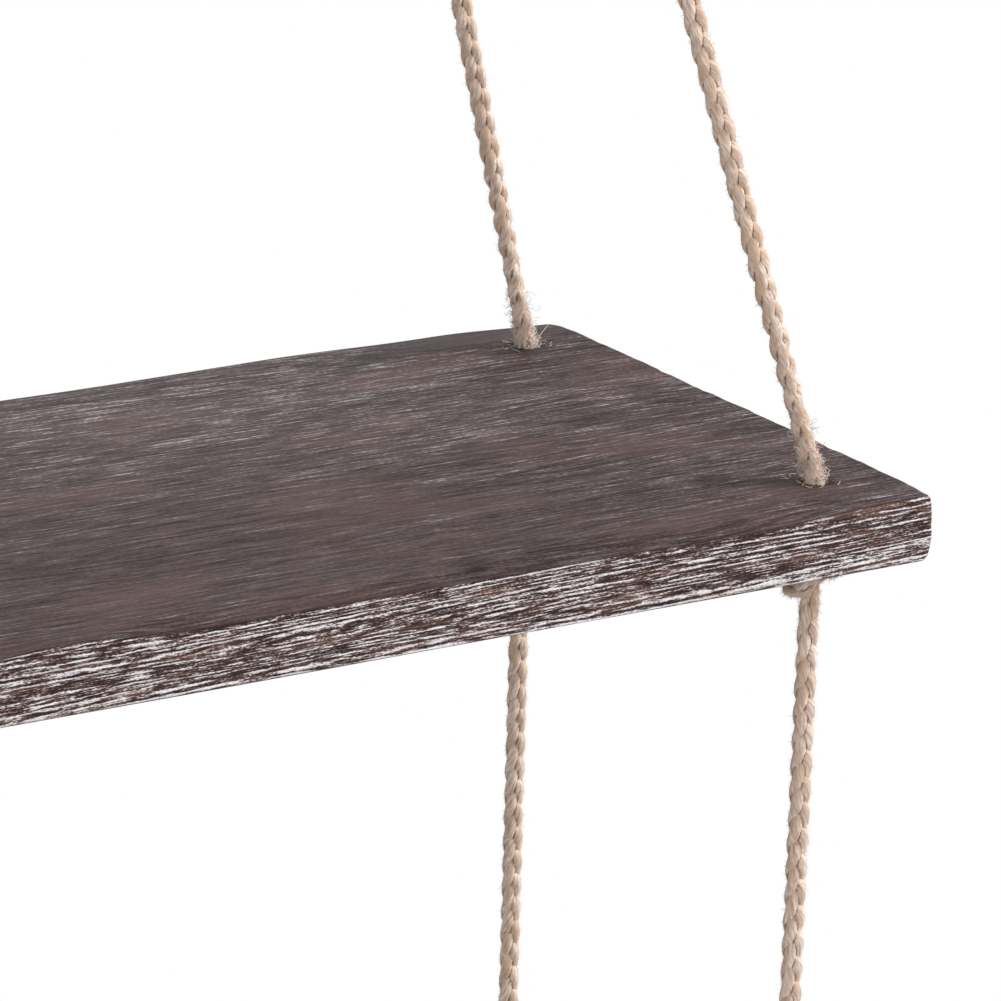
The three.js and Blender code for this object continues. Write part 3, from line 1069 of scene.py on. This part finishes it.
def curl(random, start, heading, count, pace, bend):
    """A fibre that curls away from its start, as its points."""
    heading = np.array(heading, float)
    axis = random.normal(size=3)
    points = [np.array(start, float)]
    for _ in range(count):
        axis = axis * 0.8 + random.normal(size=3) * 0.45
        heading += np.cross(axis / norm(axis), heading) * bend
        heading /= norm(heading)
        points.append(points[-1] + heading * pace)
    return np.array(points)


def make_loose_fibres(tree, finish):
    """Curled fibres that stand off the ropes over the holes, and lie rubbed off round them."""
    random = np.random.default_rng(71)
    for body, top in (("upper_tier", UPPER_Z), ("lower_tier", LOWER_Z)):
        fibres = []
        for side, leg in product((-1, 1), (1, 0)):
            corner = np.array((*corner_of(side, leg), top))
            _, down = leg_way(side, leg)
            for _ in range(STANDING_FIBRES if body == "upper_tier" else 0):
                # Standing off the leg, which stays in line with the plank; more of them low down
                turn = random.uniform(0, 2 * pi)
                out = np.array((cos(turn), sin(turn), 0.0))
                rise = 1.0 + 14.0 * random.random() ** 1.6
                start = corner - down * rise + out * ROPE * 0.5
                fibres.append((curl(random, start, out + (0, 0, random.uniform(-0.4, 0.6)),
                                    random.integers(6, 13), 0.34, 0.6), 0.0))
            for number in range(LYING_FIBRES):
                # Lying on the plank; the first of them are painted dark as shade among the curls, and lie on
                # the hole's right
                shaded = number < SHADED_FIBRES
                turn = random.uniform(-1.0, 0.5) if shaded else random.uniform(0, 2 * pi)
                out = np.array((cos(turn), sin(turn), 0.0))
                start = corner + out * random.uniform(3.0, 6.0) + (0, 0, 0.15)
                line = curl(random, start, (*random.normal(size=2), 0.0),
                            random.integers(6, 13), 0.33, 0.5)
                line[:, 2] = top + 0.12 + 0.3 * np.abs(line[:, 2] - start[2])
                fibres.append((line, 0.9 if shaded else 0.0))
        if body == "upper_tier":
            # One long fibre lies from the rear hole out to the plank's corner
            line = even(through([(HOLE_X + x, REAR_HOLE_Y + y, top + z) for x, y, z in (
                (2.0, -1.6, 0.3), (4.6, 2.2, 0.8), (8.8, 7.2, 0.5), (13.6, 12.4, 0.12))]), 0.8)
            fibres.append((line, 0.0))
        for line, _ in fibres:
            line[:, 2] = np.maximum(line[:, 2], top + 0.1)
        points = np.vstack([line for line, _ in fibres])
        soot = np.concatenate([np.full(len(line), shade) for line, shade in fibres])
        ends = np.cumsum([len(line) for line, _ in fibres])
        edges = [(i, i + 1) for i in range(len(points) - 1) if i + 1 not in set(ends)]
        source = mesh_of(f"loose_fibres_{body}", points, edges=edges, soot=soot)
        piece = run_tree(f"loose_fibres_{body}", source, tree, Finish=finish)
        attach(piece, body)


# Stage

def make_stage():
    """A white world, a pale floor well below that keeps the shadow, and two soft lamps."""
    world = bpy.data.worlds.new("studio")
    bpy.context.scene.world = world
    world.use_nodes = True
    world.node_tree.nodes.clear()
    graph = Graph(world.node_tree)
    back = graph.node("ShaderNodeBackground", {}, {
        "Color": (1.0, 1.0, 1.0), "Strength": 0.5 + graph.seen() * 0.5})
    graph.node("ShaderNodeOutputWorld", {}, {"Surface": back})

    material, graph = new_material("pale_floor")
    place = graph.node("ShaderNodeTexCoord", {}, {}, "Object")
    across, depth, _ = place.parts()
    far = (across * across + depth * depth) ** 0.5
    matt = graph.node("ShaderNodeBsdfDiffuse", {}, {"Color": (0.88, 0.88, 0.88)})
    glow = graph.node("ShaderNodeEmission", {}, {"Color": (1.0, 1.0, 1.0), "Strength": 1.0})
    shown = graph.node("ShaderNodeMixShader", {}, {
        "Fac": graph.seen() * far.rise(0.25, 0.85), 1: matt, 2: glow})
    graph.node("ShaderNodeOutputMaterial", {}, {"Surface": shown})
    sides, radius, level = 64, 900, LOWER_Z - 330
    rim = [(radius * cos(2 * pi * k / sides), radius * sin(2 * pi * k / sides),
            level) for k in range(sides)]
    floor = link("floor", mesh_of("floor", rim, [range(sides)]))
    floor.data.materials.append(material)

    for name, place, size, power in (
        ("key", (1.65, -0.7, 0.38), 1.3, 43.0), ("fill", (-1.13, -1.37, -0.01), 1.2, 9.0)):
        data = bpy.data.lights.new(name, "AREA")
        data.shape, data.size, data.energy = "DISK", size, power
        lamp = bpy.data.objects.new(name, data)
        lamp.location = place
        aim = Vector((0.05, 0, -0.6)) - Vector(place)
        lamp.rotation_euler = aim.to_track_quat("-Z", "Y").to_euler()
        bpy.context.scene.collection.objects.link(lamp)


make_camera()
jute = plaited_jute()
make_ropes(plait_tree(), jute)
make_loose_fibres(fibre_tree(), jute)
wood = weathered_wood()
make_plank("upper_plank", "upper_tier", "upper_shelf", UPPER_Z, 3, True, wood)
make_plank("lower_plank", "lower_tier", "lower_shelf", LOWER_Z, 8, False, wood)
make_ring(ring_steel())
make_stage()
bpy.context.scene.view_settings.view_transform = "Standard"
